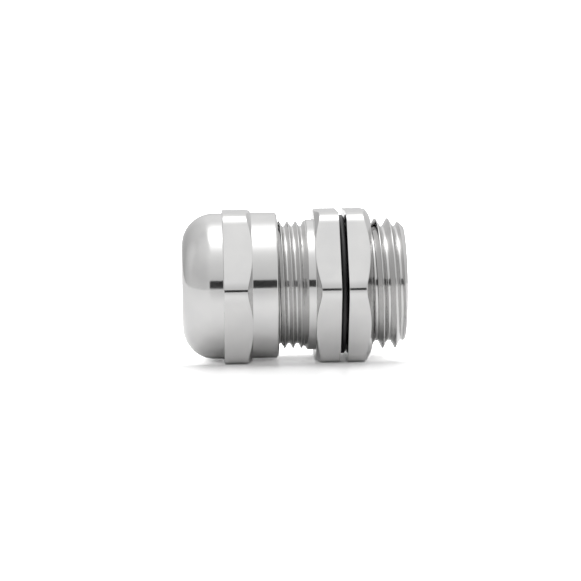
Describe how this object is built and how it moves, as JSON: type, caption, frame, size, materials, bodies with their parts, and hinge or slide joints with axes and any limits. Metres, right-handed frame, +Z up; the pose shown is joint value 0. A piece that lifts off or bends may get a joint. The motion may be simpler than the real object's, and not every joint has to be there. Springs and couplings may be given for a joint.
{
  "type": "cable gland",
  "caption": "Metric cable gland with a domed clamping nut, hexagon body, O-ring and locknut; the nuts turn on their threads and the claws close on the cable.",
  "frame": {"origin": "on the axis, at the sealing face of the body's hexagon", "axes": "+X along the axis towards the entry thread; +Z up, square to a flat of each hexagon; +Y completes the right-handed frame"},
  "size_m": [0.0267, 0.02, 0.018],
  "materials": {
    "nickel_body": "nickel plated, fine turned",
    "nickel_nut": "nickel plated, fine turned",
    "nickel_locknut": "nickel plated, fine turned",
    "polyamide": "natural moulded polyamide",
    "seal_rubber": "matt moulded rubber",
    "o_ring_rubber": "smooth moulded rubber"
  },
  "bodies": {
    "gland_body": {"gland_body": "nickel_body"},
    "insert": {"clamping_cage": "polyamide", "seal": "seal_rubber"},
    "dome_nut": {"dome_nut": "nickel_nut"},
    "o_ring": {"o_ring": "o_ring_rubber"},
    "locknut": {"locknut": "nickel_locknut"},
    "claw_01": {"claw_01": "polyamide"},
    "claw_02": {"claw_02": "polyamide"},
    "claw_03": {"claw_03": "polyamide"},
    "claw_04": {"claw_04": "polyamide"},
    "claw_05": {"claw_05": "polyamide"},
    "claw_06": {"claw_06": "polyamide"},
    "claw_07": {"claw_07": "polyamide"},
    "claw_08": {"claw_08": "polyamide"},
    "claw_09": {"claw_09": "polyamide"},
    "claw_10": {"claw_10": "polyamide"}
  },
  "joints": [
    {"name": "dome_nut_turn", "type": "hinge", "parent": "gland_body", "child": "insert", "pos_m": [-0.012, 0, 0], "axis": [1, 0, 0], "range_deg": [0, 1260], "deforming": ["seal"]},
    {"name": "dome_nut_advance", "type": "slide", "parent": "insert", "child": "dome_nut", "axis": [1, 0, 0], "range_m": [0, 0.00351]},
    {"name": "locknut_turn", "type": "hinge", "parent": "gland_body", "child": "o_ring", "pos_m": [0.00043, 0, 0], "axis": [1, 0, 0], "range_deg": [0, 1440]},
    {"name": "locknut_advance", "type": "slide", "parent": "o_ring", "child": "locknut", "axis": [1, 0, 0], "range_m": [0, 0.00601]},
    {"name": "claw_01_close", "type": "hinge", "parent": "insert", "child": "claw_01", "pos_m": [-0.0102, -0.00168, 0.00518], "axis": [0, -0.9511, -0.309], "range_deg": [0, 20.1]},
    {"name": "claw_02_close", "type": "hinge", "parent": "insert", "child": "claw_02", "pos_m": [-0.0102, -0.00441, 0.0032], "axis": [0, -0.5878, -0.809], "range_deg": [0, 20.1]},
    {"name": "claw_03_close", "type": "hinge", "parent": "insert", "child": "claw_03", "pos_m": [-0.0102, -0.00545, 0], "axis": [0, 0, -1], "range_deg": [0, 20.1]},
    {"name": "claw_04_close", "type": "hinge", "parent": "insert", "child": "claw_04", "pos_m": [-0.0102, -0.00441, -0.0032], "axis": [0, 0.5878, -0.809], "range_deg": [0, 20.1]},
    {"name": "claw_05_close", "type": "hinge", "parent": "insert", "child": "claw_05", "pos_m": [-0.0102, -0.00168, -0.00518], "axis": [0, 0.9511, -0.309], "range_deg": [0, 20.1]},
    {"name": "claw_06_close", "type": "hinge", "parent": "insert", "child": "claw_06", "pos_m": [-0.0102, 0.00168, -0.00518], "axis": [0, 0.9511, 0.309], "range_deg": [0, 20.1]},
    {"name": "claw_07_close", "type": "hinge", "parent": "insert", "child": "claw_07", "pos_m": [-0.0102, 0.00441, -0.0032], "axis": [0, 0.5878, 0.809], "range_deg": [0, 20.1]},
    {"name": "claw_08_close", "type": "hinge", "parent": "insert", "child": "claw_08", "pos_m": [-0.0102, 0.00545, 0], "axis": [0, 0, 1], "range_deg": [0, 20.1]},
    {"name": "claw_09_close", "type": "hinge", "parent": "insert", "child": "claw_09", "pos_m": [-0.0102, 0.00441, 0.0032], "axis": [0, -0.5878, 0.809], "range_deg": [0, 20.1]},
    {"name": "claw_10_close", "type": "hinge", "parent": "insert", "child": "claw_10", "pos_m": [-0.0102, 0.00168, 0.00518], "axis": [0, -0.9511, 0.309], "range_deg": [0, 20.1]}
  ],
  "couplings": [
    {"joint": "dome_nut_advance", "follows": "dome_nut_turn", "m_per_rad": 0.00015915},
    {"joint": "locknut_advance", "follows": "locknut_turn", "m_per_rad": 0.00023873},
    {"joint": "claw_01_close", "follows": "dome_nut_turn", "ratio": 0.015873},
    {"joint": "claw_02_close", "follows": "dome_nut_turn", "ratio": 0.015873},
    {"joint": "claw_03_close", "follows": "dome_nut_turn", "ratio": 0.015873},
    {"joint": "claw_04_close", "follows": "dome_nut_turn", "ratio": 0.015873},
    {"joint": "claw_05_close", "follows": "dome_nut_turn", "ratio": 0.015873},
    {"joint": "claw_06_close", "follows": "dome_nut_turn", "ratio": 0.015873},
    {"joint": "claw_07_close", "follows": "dome_nut_turn", "ratio": 0.015873},
    {"joint": "claw_08_close", "follows": "dome_nut_turn", "ratio": 0.015873},
    {"joint": "claw_09_close", "follows": "dome_nut_turn", "ratio": 0.015873},
    {"joint": "claw_10_close", "follows": "dome_nut_turn", "ratio": 0.015873}
  ]
}
